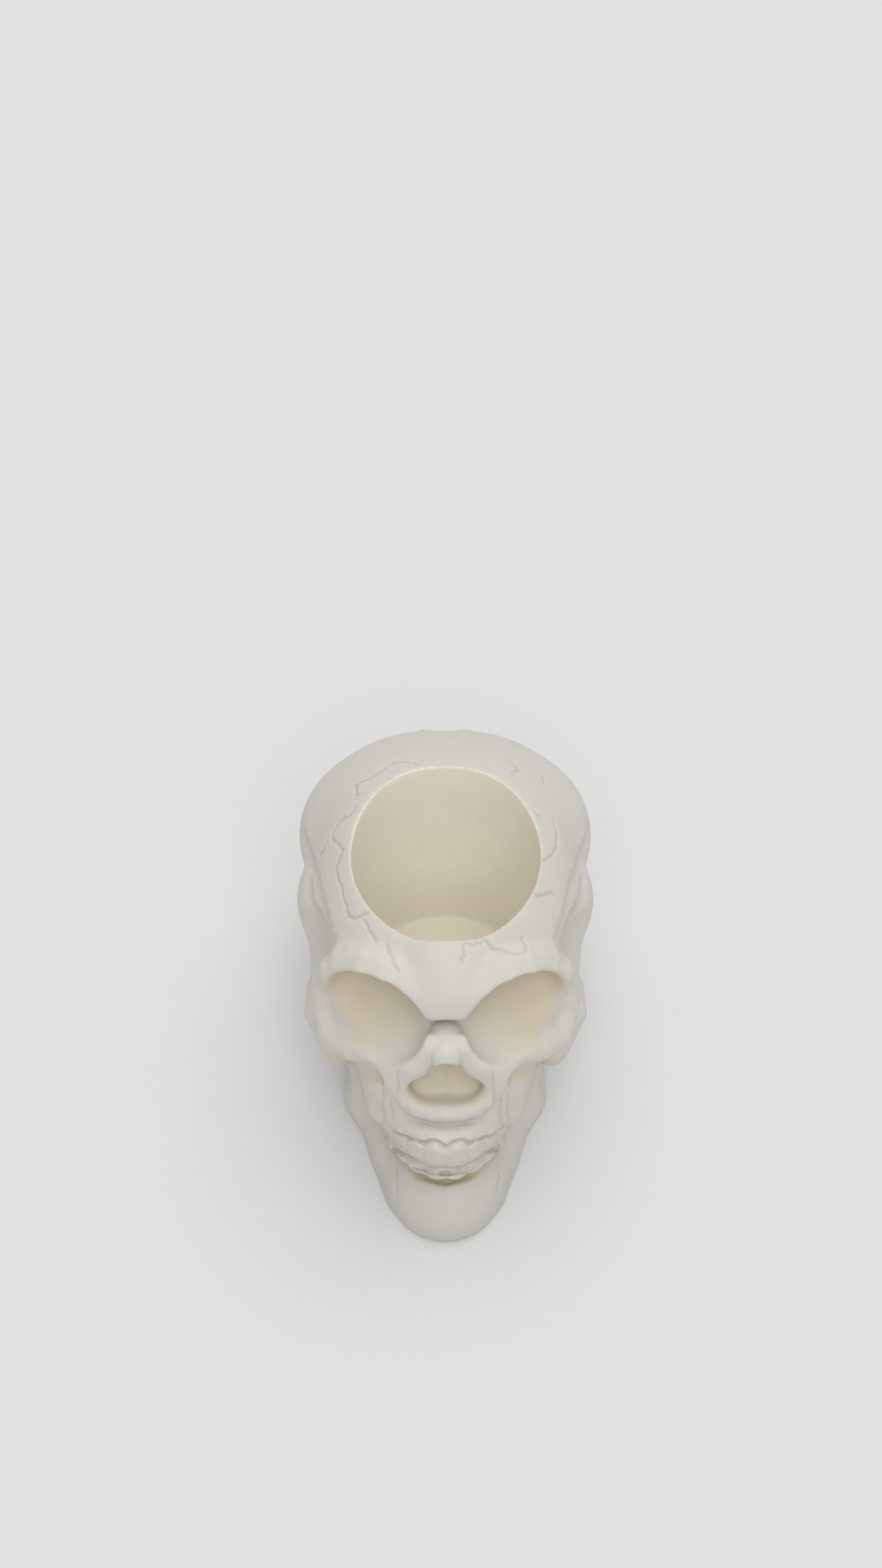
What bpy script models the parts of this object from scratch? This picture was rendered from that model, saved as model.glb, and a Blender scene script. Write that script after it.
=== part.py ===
"""Skull candle holder: one moulded piece, a skull lying back on its jaw and nape, with a round well in its crown.

The form is sculpted as one field of distances, which Geometry Nodes turns into a mesh. Every size is in millimetres, in
the frame of the object: the middle of the well is the Z axis, the table is Z = 0, and the face looks towards -Y. Most
features are given on the side of +X only, because the field is folded at the middle plane. A chain is a row of rods,
given as stops of (x, y, z, radius). The well and the flat underside are cut last, with solids.
"""
import math

import bmesh
import bpy
from mathutils import Vector

MM = 0.001

# The well, for a votive candle
WELL_DIAMETER = 54.0
WELL_FLOOR = 35.0
WELL_CORNER = 3.0
WELL_WALL = 3.0
WELL_STEPS = 96
CORNER_STEPS = 4

# The braincase: a squarish egg, with the bulges of parietal, crown, temple and forehead, and the dip behind the eyes
VAULT_MIDDLE, VAULT_RADII = (0.0, 18.0, 50.0), (42.5, 61.0, 54.0)
VAULT_SQUARENESS = 2.8
PARIETAL_MIDDLE, PARIETAL_RADII = (20.0, 34.0, 68.0), (26.5, 26.0, 26.0)
CROWN_MIDDLE, CROWN_RADII = (6.5, 44.4, 75.9), (9.0, 20.4, 20.4)
TEMPLE_MIDDLE, TEMPLE_RADII = (24.0, 12.0, 62.0), (21.8, 23.0, 21.0)
FOREHEAD_MIDDLE, FOREHEAD_RADII = (0.0, -13.0, 66.0), (26.0, 27.0, 21.0)
TEMPLE_DIP_MIDDLE, TEMPLE_DIP_RADII = (44.2, -17.5, 67.0), (11.5, 18.0, 21.0)
# What fills the hollow under the skull, so that it can stand on one flat face
FLOOR_MIDDLE, FLOOR_RADII = (0.0, -4.0, 14.0), (21.0, 36.0, 30.0)
NAPE_MIDDLE, NAPE_RADII = (0.0, 22.0, 18.0), (36.0, 48.0, 30.0)

# The eyes: a ridge above each with a rounded edge, a bowl, and the notch between them
BROW = ((1.5, -37.4, 72.6, 4.4), (7, -37.2, 73.6, 4.6), (12, -35.4, 76.2, 4.8), (17, -32.8, 78.0, 4.8),
        (22, -30.2, 77.8, 4.7), (27.5, -26.6, 75.2, 4.5), (30.6, -25.0, 71.2, 4.2))
BROW_EDGE = ((7, -35.9, 76.9, 2.8), (10.5, -33.1, 79.6, 2.9), (14, -30.8, 81.1, 3.0), (18, -29, 81.7, 3.0),
             (22, -27.4, 81.3, 3.0), (25.5, -25.6, 79.8, 3.0), (28.5, -23.8, 77, 3.2))
GLABELLA_MIDDLE, GLABELLA_RADII, GLABELLA_TURN = (0.0, -32.0, 79.2), (10.5, 6.4, 12.0), (-52, 0, 0)
ORBIT_MIDDLE, ORBIT_RADII, ORBIT_TURN = (20.4, -38.4, 69.6), (16.1, 16.0, 11.8), (10, 0, -10)
# The flat of the cheek below the eye: a point on it, and the way it faces
CHEEK_FLAT_POINT, CHEEK_FLAT_FACING = (24.0, -37.6, 57.2), (0.25, -0.62, 0.74)
NASION_MIDDLE, NASION_RADII, NASION_TURN = (0.0, -40.6, 70.0), (9.0, 6.0, 2.5), (-43, 0, 0)

# The cheekbone, its arch to the ear, and what is open below it
CHEEK = ((31.5, -24, 72, 3.9), (34.6, -22, 64, 3.9), (34.6, -24.5, 56, 4.4), (32.2, -31, 51, 4.6),
         (26, -36.4, 53.2, 4.6), (19.5, -39.6, 56.8, 4.6), (13, -41.5, 58.6, 4.8))
MAXILLA_MIDDLE, MAXILLA_RADII = (11.5, -40.0, 43.0), (12.0, 11.0, 14.0)
CHEEK_BODY_MIDDLE, CHEEK_BODY_RADII, CHEEK_BODY_TURN = (31.0, -28.0, 45.0), (6.0, 8.0, 10.0), (15, 0, 0)
ARCH = ((34, -27.5, 47, 4.6), (38.6, -18, 44, 4.1), (39.4, -5, 38.5, 4.0), (36, 12, 34, 5))
UNDERCUT = ((33.5, -37.5, 43.5, 3.6), (26, -43.2, 48.2, 2.8), (18.5, -47.4, 53.2, 1.8))
JAW_GAP_MIDDLE, JAW_GAP_RADII, JAW_GAP_TURN = (28.3, -33.0, 30.0), (4.6, 10.0, 17.0), (10, 0, 0)

# The nose: a squared bone above, a flank on each side, a pear-shaped opening and the sill below it
NOSE_BONE = ((0, -43.6, 63.6, 4.7), (0, -46.4, 64.6, 5.4))
NOSE_BONE_HALF_WIDTH = 3.7
NOSE_FLANK = ((4.6, -44.8, 65.5, 4.4), (8.8, -45.6, 60, 5.2), (13.2, -45.2, 53.5, 5.6))
NOSE_WIDE_MIDDLE, NOSE_WIDE_RADII = (4.8, -48.8, 50.9), (6.1, 10.0, 5.6)
NOSE_TALL_MIDDLE, NOSE_TALL_RADII = (0.0, -48.5, 57.4), (4.4, 10.5, 7.0)
NOSE_TURN = (-38, 0, 0)
SILL = ((12.8, -46.8, 54, 2.2), (12.2, -49.3, 49.3, 2.3), (8, -52.5, 46.2, 2.4), (0, -53.7, 46.2, 2.6))

# The upper jaw
FACE_MIDDLE, FACE_RADII, FACE_TURN = (0.0, -28.0, 54.0), (20.0, 20.0, 26.0), (-15, 0, 0)
COLUMN = ((20.0, -33.5, 51, 5.5), (18.5, -38.5, 42, 5.5), (17, -42.5, 33, 6))
# Gums and teeth follow a bend of this radius at the middle, on planes that tilt back with the skull. Each band has its
# front, top and foot at the middle plane, its thickness and half its width, and the rounding of its edges.
ARCH_BEND = 10.5
TILT = math.radians(26)
GUM = (-62.0, 45.5, 35.0, 12.0, 22.5, 4.8)
UPPER_TEETH = (-63.0, 41.3, 33.2, 12.0, 21.0, 1.2)
LOWER_TEETH = (-60.8, 36.0, 23.5, 10.0, 18.0, 1.2)
LOWER_RIDGE = (-62.2, 26.4, 23.4, 5.0, 18.5, 1.1)
LOWER_GUM = (-54.0, 26.0, 0.0, 14.0, 18.0, 2.5)
BAND_END = 2.0
# The gum line and the cutting edges wave from tooth to tooth, and a shallow groove parts the teeth
TOOTH_PITCH = 6.7
GUM_WAVE = 0.8
EDGE_WAVE = 0.4
TOOTH_GROOVE = 0.55

# The lower jaw, with its body pressed flat to the table and a groove between chin and teeth
JAW_STRETCH = 0.6
JAW_BODY = ((10.8, -52.5, 0, 8), (15.5, -42, 0, 7.6), (19.0, -31, 1, 7.6), (25.5, -22, 2, 7), (25.5, 0, 2, 7))
RAMUS = ((25.0, -26.5, 6, 5.4), (24.9, -24, 18, 4.8), (26.2, -18, 27, 4.6), (28.2, -6, 38, 4.8))
CHIN_MIDDLE, CHIN_RADII = (0.0, -52.0, 3.5), (17.5, 17.4, 15.5)
CHIN_GROOVE = ((0, -57.6, 18.1, 2.6), (9, -55.6, 18.3, 2.5), (14.5, -50, 18.4, 1.5))

# How wide the fillet is where two shapes meet, from a broad blend to a sharp crease
BROAD, WIDE, FULL, EVEN, SLIGHT, CLOSE, TIGHT, CRISP, SHARP = 8.0, 6.0, 5.0, 4.0, 3.0, 2.0, 1.5, 1.0, 0.5
# The space that is sculpted, the mesh of it, and how far the cutters reach past it. The raw mesh is stepped and settles
# on the surface, along slopes that are measured over a short reach.
LOW, HIGH = (-52.0, -82.0, -6.0), (52.0, 88.0, 110.0)
UNDERSIDE = -2.0
PAST = 20.0
VOXEL = 1.0
TRIANGLES = 10400
SETTLING_STEPS = 2
SLOPE_REACH = 0.2
LONGEST_STEP = 0.6

IVORY = (0.64, 0.62, 0.57, 1.0)
IVORY_ROUGHNESS = 0.55


class Field:
    """A number at every point of space, made of the nodes of one Geometry Nodes tree."""
    tree = None

    def __init__(self, socket):
        self.socket = socket

    @classmethod
    def node(cls, kind, inputs, output=0, **settings):
        """A node of this kind; inputs holds a number, a vector or a field for each of its sockets."""
        made = cls.tree.nodes.new(kind)
        for name, value in settings.items():
            setattr(made, name, value)
        for index, value in enumerate(inputs):
            if isinstance(value, Field):
                cls.tree.links.new(value.socket, made.inputs[index])
            elif value is not None:
                made.inputs[index].default_value = value
        return cls(made.outputs[output])

    @classmethod
    def math(cls, operation, *values):
        return cls.node("ShaderNodeMath", values, operation=operation)

    @classmethod
    def vector(cls, operation, *values, output=0):
        return cls.node("ShaderNodeVectorMath", values, output, operation=operation)

    def __add__(self, other):
        return Field.math("ADD", self, other)

    def __radd__(self, other):
        return Field.math("ADD", other, self)

    def __sub__(self, other):
        return Field.math("SUBTRACT", self, other)

    def __rsub__(self, other):
        return Field.math("SUBTRACT", other, self)

    def __mul__(self, other):
        return Field.math("MULTIPLY", self, other)

    def __rmul__(self, other):
        return Field.math("MULTIPLY", other, self)

    def __truediv__(self, other):
        return Field.math("DIVIDE", self, other)

    def __neg__(self):
        return Field.math("MULTIPLY", self, -1.0)

    def __pow__(self, other):
        return Field.math("POWER", self, other)

    def least(self, other):
        return Field.math("MINIMUM", self, other)

    def most(self, other):
        return Field.math("MAXIMUM", self, other)

    def size(self):
        return Field.math("ABSOLUTE", self)

    def join(self, other, soft):
        """Both shapes, with a fillet about as wide as soft."""
        return Field.math("SMOOTH_MIN", self, other, soft)

    def cut(self, other, soft):
        """This shape without the other."""
        return Field.math("SMOOTH_MAX", self, -other, soft)

    def keep(self, other, soft):
        """What lies in both shapes."""
        return Field.math("SMOOTH_MAX", self, other, soft)


def split(vector):
    parts = Field.tree.nodes.new("ShaderNodeSeparateXYZ")
    Field.tree.links.new(vector.socket, parts.inputs[0])
    return [Field(output) for output in parts.outputs]


def turned(point, centre, turn):
    """The point as seen from a centre that is turned by these degrees about X, Y and Z."""
    away = Field.vector("SUBTRACT", point, centre)
    if not any(turn):
        return away
    angles = [-math.radians(angle) for angle in turn]
    return Field.node("ShaderNodeVectorRotate", (away, None, None, None, angles), rotation_type="EULER_XYZ")


def egg(point, centre, radii, turn=(0, 0, 0)):
    away = turned(point, centre, turn)
    near = Field.vector("LENGTH", Field.vector("DIVIDE", away, radii), output=1) + 0.001
    slope = Field.vector("LENGTH", Field.vector("DIVIDE", away, [r * r for r in radii]), output=1)
    return near * (near - 1.0) / (slope + 0.001 / min(radii))


def loaf(point, centre, radii, squareness):
    """An egg whose sections across X are squarer than an ellipse."""
    x, y, z = split(Field.vector("DIVIDE", Field.vector("SUBTRACT", point, centre), radii))
    x = x.size() + 0.001
    ring = Field.math("SQRT", y * y + z * z) + 0.001
    near = (x ** squareness + ring ** squareness) ** (1 / squareness)
    across = x ** (squareness - 1) / radii[0]
    along = ring ** (squareness - 2) * Field.math("SQRT", y * y / radii[1] ** 2 + z * z / radii[2] ** 2)
    slope = Field.math("SQRT", across * across + along * along) * near ** (1 - squareness)
    return (near - 1.0) / (slope + 1e-5)


def rod(point, start, end, start_radius, end_radius):
    along = Vector(end) - Vector(start)
    away = Field.vector("SUBTRACT", point, start)
    share = Field.vector("DOT_PRODUCT", away, along, output=1) / along.length_squared
    share = share.most(0.0).least(1.0)
    foot = Field.node("ShaderNodeVectorMath", (along, None, None, share), operation="SCALE")
    off = Field.vector("LENGTH", Field.vector("SUBTRACT", away, foot), output=1)
    return off - (share * (end_radius - start_radius) + start_radius)


def chain(point, stops):
    made = None
    for start, end in zip(stops, stops[1:]):
        piece = rod(point, start[:3], end[:3], start[3], end[3])
        made = piece if made is None else made.join(piece, SHARP)
    return made


def braincase(side):
    form = loaf(side, VAULT_MIDDLE, VAULT_RADII, VAULT_SQUARENESS)
    form = form.join(egg(side, PARIETAL_MIDDLE, PARIETAL_RADII), BROAD)
    form = form.join(egg(side, CROWN_MIDDLE, CROWN_RADII), CLOSE)
    form = form.join(egg(side, TEMPLE_MIDDLE, TEMPLE_RADII), SLIGHT)
    form = form.join(egg(side, FOREHEAD_MIDDLE, FOREHEAD_RADII), BROAD)
    return form.cut(egg(side, TEMPLE_DIP_MIDDLE, TEMPLE_DIP_RADII), FULL)


def orbit(side):
    """The eye's bowl, which ends at the flat of the cheek, and whose back keeps a wall to the well."""
    x, y, z = split(side)
    facing = Vector(CHEEK_FLAT_FACING).normalized()
    over_cheek = Field.vector("DOT_PRODUCT", Field.vector("SUBTRACT", side, CHEEK_FLAT_POINT), facing, output=1)
    bowl = egg(side, ORBIT_MIDDLE, ORBIT_RADII, ORBIT_TURN).keep(-over_cheek, WIDE)
    return bowl.keep(WELL_DIAMETER / 2 + WELL_WALL - Field.math("SQRT", x * x + y * y), EVEN)


def arch(side):
    body = egg(side, CHEEK_BODY_MIDDLE, CHEEK_BODY_RADII, CHEEK_BODY_TURN)
    return body.join(chain(side, ARCH), SLIGHT)


def below_cheek(side):
    gap = egg(side, JAW_GAP_MIDDLE, JAW_GAP_RADII, JAW_GAP_TURN)
    return gap.join(chain(side, UNDERCUT), SLIGHT)


def nose_opening(side):
    wide = egg(side, NOSE_WIDE_MIDDLE, NOSE_WIDE_RADII, NOSE_TURN)
    return wide.join(egg(side, NOSE_TALL_MIDDLE, NOSE_TALL_RADII, NOSE_TURN), EVEN)


def between_teeth(x):
    """1 where two teeth meet and -1 at the middle of each, by the length along the bend of the jaw."""
    slope = x / ARCH_BEND
    steep = Field.math("SQRT", slope * slope + 1.0)
    arc = (slope * steep + Field.math("LOGARITHM", slope + steep, math.e)) * (ARCH_BEND / 2)
    return Field.math("COSINE", arc * (math.tau / TOOTH_PITCH))


def band(side, front, top, foot, thickness, half_width, rounding, top_wave=0.0, foot_wave=0.0, groove=0.0):
    x, y, z = split(side)
    bend = x * x / (2 * ARCH_BEND)
    steep = Field.math("SQRT", x * x / ARCH_BEND ** 2 + 1.0)
    inward = (y - bend - front) / steep
    level = (z + y * math.tan(TILT) - ((top + foot) / 2 + front * math.tan(TILT))) * math.cos(TILT)
    above, below = level, -level
    if top_wave or foot_wave or groove:
        gap = between_teeth(x)
        above = level + gap * top_wave
        below = gap * foot_wave - level
        inward = inward - gap.most(0.0) ** 4.0 * groove
    over = (inward - thickness / 2).size() - (thickness / 2 - rounding)
    rise = above.most(below) - ((top - foot) / 2 * math.cos(TILT) - rounding)
    past_over = over.most(0.0)
    past_rise = rise.most(0.0)
    outside = Field.math("SQRT", past_over * past_over + past_rise * past_rise)
    return (outside + over.most(rise).least(0.0) - rounding).keep(x - half_width, BAND_END)


def teeth(side):
    form = band(side, *UPPER_TEETH, GUM_WAVE, EDGE_WAVE, TOOTH_GROOVE)
    form = form.join(band(side, *LOWER_TEETH, 0.0, 0.0, TOOTH_GROOVE), SHARP)
    form = form.join(band(side, *LOWER_RIDGE, EDGE_WAVE, EDGE_WAVE, TOOTH_GROOVE), SHARP)
    return form.join(band(side, *LOWER_GUM), CLOSE)


def jaw(side):
    low = Field.vector("MULTIPLY", side, (1, 1, JAW_STRETCH))
    form = chain(low, JAW_BODY).join(chain(side, RAMUS), SLIGHT)
    return form.join(egg(side, CHIN_MIDDLE, CHIN_RADII), EVEN)


def skull(point):
    x, y, z = split(point)
    side = Field.node("ShaderNodeCombineXYZ", (x.size(), y, z))
    form = braincase(side)
    form = form.join(egg(side, FACE_MIDDLE, FACE_RADII, FACE_TURN).join(chain(side, COLUMN), FULL), WIDE)
    form = form.join(chain(side, BROW), BROAD)
    form = form.join(egg(side, GLABELLA_MIDDLE, GLABELLA_RADII, GLABELLA_TURN), WIDE)
    form = form.join(chain(side, CHEEK), EVEN)
    form = form.join(chain(side, NOSE_FLANK), WIDE)
    form = form.join(egg(side, MAXILLA_MIDDLE, MAXILLA_RADII), FULL)
    form = form.cut(orbit(side), SLIGHT).join(chain(side, BROW_EDGE), EVEN)
    form = form.cut(egg(side, NASION_MIDDLE, NASION_RADII, NASION_TURN), TIGHT)
    form = form.join(chain(side, NOSE_BONE).keep(x.size() - NOSE_BONE_HALF_WIDTH, CRISP), TIGHT)
    form = form.join(band(side, *GUM), WIDE)
    form = form.cut(below_cheek(side), CRISP)
    form = form.join(arch(side), CLOSE)
    form = form.join(teeth(side), CRISP)
    form = form.cut(nose_opening(side), TIGHT)
    form = form.join(chain(side, SILL), CLOSE)
    form = form.join(jaw(side), CLOSE).cut(chain(side, CHIN_GROOVE), TIGHT)
    form = form.join(egg(side, FLOOR_MIDDLE, FLOOR_RADII), EVEN)
    form = form.join(egg(side, NAPE_MIDDLE, NAPE_RADII), WIDE)
    return form


def form_group():
    """The field as a node group, so that the mesh maker can ask it for the distance at more than one place."""
    group = bpy.data.node_groups.new("Skull form", "GeometryNodeTree")
    group.interface.new_socket("Position", in_out="INPUT", socket_type="NodeSocketVector")
    group.interface.new_socket("Distance", in_out="OUTPUT", socket_type="NodeSocketFloat")
    Field.tree = group
    point = Field(group.nodes.new("NodeGroupInput").outputs["Position"])
    x, y, z = split(point)
    distance = skull(point).most(UNDERSIDE - z)
    group.links.new(distance.socket, group.nodes.new("NodeGroupOutput").inputs["Distance"])
    return group


def form_mesh(voxel):
    """The mesh of the field, in metres."""
    group = form_group()
    tree = bpy.data.node_groups.new("Skull", "GeometryNodeTree")
    tree.interface.new_socket("Geometry", in_out="OUTPUT", socket_type="NodeSocketGeometry")
    Field.tree = tree
    point = Field(tree.nodes.new("GeometryNodeInputPosition").outputs[0])
    distance = Field.node("GeometryNodeGroup", (point,), node_tree=group)
    block = tree.nodes.new("GeometryNodeVolumeCube")
    tree.links.new((-distance).socket, block.inputs["Density"])
    block.inputs["Background"].default_value = -5.0
    block.inputs["Min"].default_value = LOW
    block.inputs["Max"].default_value = HIGH
    for axis, start, end in zip("XYZ", LOW, HIGH):
        block.inputs["Resolution " + axis].default_value = round((end - start) / voxel) + 1
    skin = tree.nodes.new("GeometryNodeVolumeToMesh")
    skin.resolution_mode = "GRID"
    skin.inputs["Threshold"].default_value = 0.0
    tree.links.new(block.outputs[0], skin.inputs["Volume"])
    geometry = skin.outputs[0]
    for _ in range(SETTLING_STEPS):
        settled = tree.nodes.new("GeometryNodeSetPosition")
        tree.links.new(geometry, settled.inputs["Geometry"])
        tree.links.new(to_surface(point, distance, group).socket, settled.inputs["Offset"])
        geometry = settled.outputs[0]
    metres = tree.nodes.new("GeometryNodeTransform")
    metres.inputs["Scale"].default_value = (MM, MM, MM)
    tree.links.new(geometry, metres.inputs[0])
    output = tree.nodes.new("NodeGroupOutput")
    tree.links.new(metres.outputs[0], output.inputs[0])
    maker = bpy.data.objects.new("Form", bpy.data.meshes.new("Form"))
    bpy.context.scene.collection.objects.link(maker)
    maker.modifiers.new("Form", "NODES").node_group = tree
    graph = bpy.context.evaluated_depsgraph_get()
    mesh = bpy.data.meshes.new_from_object(maker.evaluated_get(graph))
    bpy.data.objects.remove(maker, do_unlink=True)
    mesh.name = "skull_holder"
    return mesh


def to_surface(point, distance, group):
    """The step from a point of the raw mesh to the surface itself, along the field's slope."""
    slopes = []
    for aside in ((SLOPE_REACH, 0, 0), (0, SLOPE_REACH, 0), (0, 0, SLOPE_REACH)):
        beside = Field.node("GeometryNodeGroup", (Field.vector("ADD", point, aside),), node_tree=group)
        slopes.append((beside - distance) / SLOPE_REACH)
    slope = Field.node("ShaderNodeCombineXYZ", slopes)
    steepness = Field.vector("DOT_PRODUCT", slope, slope, output=1).most(0.2)
    step = (-distance / steepness).most(-LONGEST_STEP).least(LONGEST_STEP)
    return Field.node("ShaderNodeVectorMath", (slope, None, None, step), operation="SCALE")


def collection(name):
    made = bpy.data.collections.new(name)
    bpy.context.scene.collection.children.link(made)
    return made


def cutter(name, mesh):
    """A helper that only cuts: it isn't rendered."""
    obj = bpy.data.objects.new(name, mesh)
    obj.hide_render = True
    obj.display_type = "WIRE"
    cutters.objects.link(obj)
    return obj


def well_cutter():
    """The well, a profile turned about Z: open above the crown, with a flat floor and a rounded corner."""
    radius = WELL_DIAMETER / 2
    profile = [(0.0, HIGH[2] + PAST), (radius, HIGH[2] + PAST)]
    for step in range(CORNER_STEPS + 1):
        angle = math.pi / 2 * step / CORNER_STEPS
        profile.append((radius - WELL_CORNER * (1 - math.cos(angle)), WELL_FLOOR + WELL_CORNER * (1 - math.sin(angle))))
    profile.append((0.0, WELL_FLOOR))
    mesh = bpy.data.meshes.new("well")
    mesh.from_pydata([(r * MM, 0.0, z * MM) for r, z in profile], [(i, i + 1) for i in range(len(profile) - 1)], [])
    well = cutter("well", mesh)
    turn = well.modifiers.new("Turn", "SCREW")
    turn.steps = turn.render_steps = WELL_STEPS
    turn.use_merge_vertices = True
    turn.merge_threshold = 0.01 * MM
    return well


def table_cutter():
    """A block from the table down."""
    shape = bmesh.new()
    bmesh.ops.create_cube(shape, size=1.0)
    for vert in shape.verts:
        vert.co.x = (HIGH[0] + PAST if vert.co.x > 0 else LOW[0] - PAST) * MM
        vert.co.y = (HIGH[1] + PAST if vert.co.y > 0 else LOW[1] - PAST) * MM
        vert.co.z = 0.0 if vert.co.z > 0 else (LOW[2] - PAST) * MM
    mesh = bpy.data.meshes.new("table")
    shape.to_mesh(mesh)
    shape.free()
    return cutter("table", mesh)


for old in list(bpy.data.objects):
    bpy.data.objects.remove(old, do_unlink=True)
parts = collection("Skull candle holder")
cutters = collection("Cutters")
cutters.hide_render = True

ivory = bpy.data.materials.new("ivory")
ivory.use_nodes = True
shader = ivory.node_tree.nodes["Principled BSDF"]
shader.inputs["Base Color"].default_value = IVORY
shader.inputs["Roughness"].default_value = IVORY_ROUGHNESS

mesh = form_mesh(VOXEL)
mesh.materials.clear()
mesh.materials.append(ivory)
mesh.calc_loop_triangles()
skull_holder = bpy.data.objects.new("skull_holder", mesh)
parts.objects.link(skull_holder)
fewer = skull_holder.modifiers.new("Fewer faces", "DECIMATE")
fewer.ratio = TRIANGLES / len(mesh.loop_triangles)
for solid in (table_cutter(), well_cutter()):
    cut = skull_holder.modifiers.new("Cut by " + solid.name, "BOOLEAN")
    cut.operation = "DIFFERENCE"
    cut.solver = "EXACT"
    cut.object = solid
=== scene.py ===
"""Skull candle holder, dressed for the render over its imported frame.

The field of its form and the lines cut into it are in millimetres, and all else is in metres."""
import math

import bpy
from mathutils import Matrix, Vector


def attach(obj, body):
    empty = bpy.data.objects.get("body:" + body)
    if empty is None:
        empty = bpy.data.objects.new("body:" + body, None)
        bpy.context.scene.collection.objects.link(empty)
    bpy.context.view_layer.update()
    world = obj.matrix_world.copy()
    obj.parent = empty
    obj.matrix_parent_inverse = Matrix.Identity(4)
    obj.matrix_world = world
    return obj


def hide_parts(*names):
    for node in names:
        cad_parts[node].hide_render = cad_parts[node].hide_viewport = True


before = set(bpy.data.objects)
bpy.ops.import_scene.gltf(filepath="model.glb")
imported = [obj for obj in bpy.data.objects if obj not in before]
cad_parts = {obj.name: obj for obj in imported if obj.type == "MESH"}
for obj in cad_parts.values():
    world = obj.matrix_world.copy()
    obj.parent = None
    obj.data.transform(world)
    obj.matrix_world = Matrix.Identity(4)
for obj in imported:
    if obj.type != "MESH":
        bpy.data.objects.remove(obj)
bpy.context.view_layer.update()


# Camera
# It stands in front of the face and looks down on it, at the photograph's angle. The picture is 1449 by 2576 pixels,
# and the focal length is given in those pixels.
IMAGE_LONG_SIDE = 2576
FOCAL_PIXELS = 1935
CAMERA_PLACE = (-0.00135, -0.2318, 0.3375)
CAMERA_PITCH = math.radians(43)
lens = bpy.data.cameras.new("camera")
lens.sensor_fit = "AUTO"
lens.sensor_width = 36.0
lens.lens = lens.sensor_width * FOCAL_PIXELS / IMAGE_LONG_SIDE
lens.clip_start = 0.01
camera = bpy.data.objects.new("camera", lens)
camera.location = CAMERA_PLACE
camera.rotation_euler = (math.pi / 2 - CAMERA_PITCH, 0.0, 0.0)
bpy.context.scene.collection.objects.link(camera)
bpy.context.scene.camera = camera


# Skull holder
# One solid casting in pale, slightly translucent ivory resin: a skull that lies back on its jaw and nape, cut flat
# below, with a round well in its crown for a votive candle. Its form is a field of distances in millimetres, given
# for the +X side and folded at the middle plane, which Geometry Nodes turns into one skin.
MM = 0.001
WELL_DIAMETER = 54.0
WELL_WALL = 3.0
SIZES = {"Well Diameter": WELL_DIAMETER, "Well Floor": 35.0, "Well Corner": 3.0, "Rim Rounding": 0.9}
UNDER_EDGE = 0.4
# The space that is sculpted and the mesh of it. The raw mesh is stepped, so it settles on the surface in steps along
# slopes that are measured over a short reach.
LOW, HIGH = (-52.0, -82.0, -2.0), (52.0, 88.0, 110.0)
VOXEL = 0.56
TRIANGLES = 190000
BEYOND = -5.0
SETTLING_STEPS = 2
SLOPE_REACH = 0.2
LEAST_STEEPNESS = 0.2
LONGEST_STEP = 0.6
# Low lumps keep it from looking machined: their height, and the scale, detail and roughness of their noise
LUMPS = 0.5
LUMP_NOISE = (0.07, 2.0, 0.5)

# The braincase: a squarish egg, with the bulges of parietal, crown, temple and forehead, and the dip behind the eyes
VAULT_MIDDLE, VAULT_RADII = (0.0, 18.0, 50.0), (42.5, 61.0, 54.0)
VAULT_SQUARENESS = 2.8
PARIETAL_MIDDLE, PARIETAL_RADII = (20.0, 34.0, 68.0), (26.5, 26.0, 26.0)
CROWN_MIDDLE, CROWN_RADII = (6.5, 44.4, 75.9), (9.0, 20.4, 20.4)
TEMPLE_MIDDLE, TEMPLE_RADII = (24.0, 12.0, 62.0), (21.8, 23.0, 21.0)
FOREHEAD_MIDDLE, FOREHEAD_RADII = (0.0, -13.0, 66.0), (26.0, 27.0, 21.0)
TEMPLE_DIP_MIDDLE, TEMPLE_DIP_RADII = (44.2, -17.5, 67.0), (11.5, 18.0, 21.0)
# What fills the hollow under the skull, so that it can stand on one flat face
FLOOR_MIDDLE, FLOOR_RADII = (0.0, -4.0, 14.0), (21.0, 36.0, 30.0)
NAPE_MIDDLE, NAPE_RADII = (0.0, 22.0, 18.0), (36.0, 48.0, 30.0)

# The eyes: a ridge above each with a rounded edge, a bowl, and the notch between them
BROW = ((1.5, -37.4, 72.6, 4.4), (7, -37.2, 73.6, 4.6), (12, -35.4, 76.2, 4.8), (17, -32.8, 78.0, 4.8),
        (22, -30.2, 77.8, 4.7), (27.5, -26.6, 75.2, 4.5), (30.6, -25.0, 71.2, 4.2))
BROW_EDGE = ((7, -35.9, 76.9, 2.8), (10.5, -33.1, 79.6, 2.9), (14, -30.8, 81.1, 3.0), (18, -29, 81.7, 3.0),
             (22, -27.4, 81.3, 3.0), (25.5, -25.6, 79.8, 3.0), (28.5, -23.8, 77, 3.2))
GLABELLA_MIDDLE, GLABELLA_RADII, GLABELLA_TURN = (0.0, -32.0, 79.2), (10.5, 6.4, 12.0), (-52, 0, 0)
ORBIT_MIDDLE, ORBIT_RADII, ORBIT_TURN = (20.4, -38.4, 69.6), (16.1, 16.0, 11.8), (10, 0, -10)
# The flat of the cheek below the eye: a point on it, and the way it faces
CHEEK_FLAT_POINT, CHEEK_FLAT_FACING = (24.0, -38.5, 58.3), (0.25, -0.62, 0.74)
NASION_MIDDLE, NASION_RADII, NASION_TURN = (0.0, -40.9, 70.0), (8.0, 4.6, 2.5), (-43, 0, 0)

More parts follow.
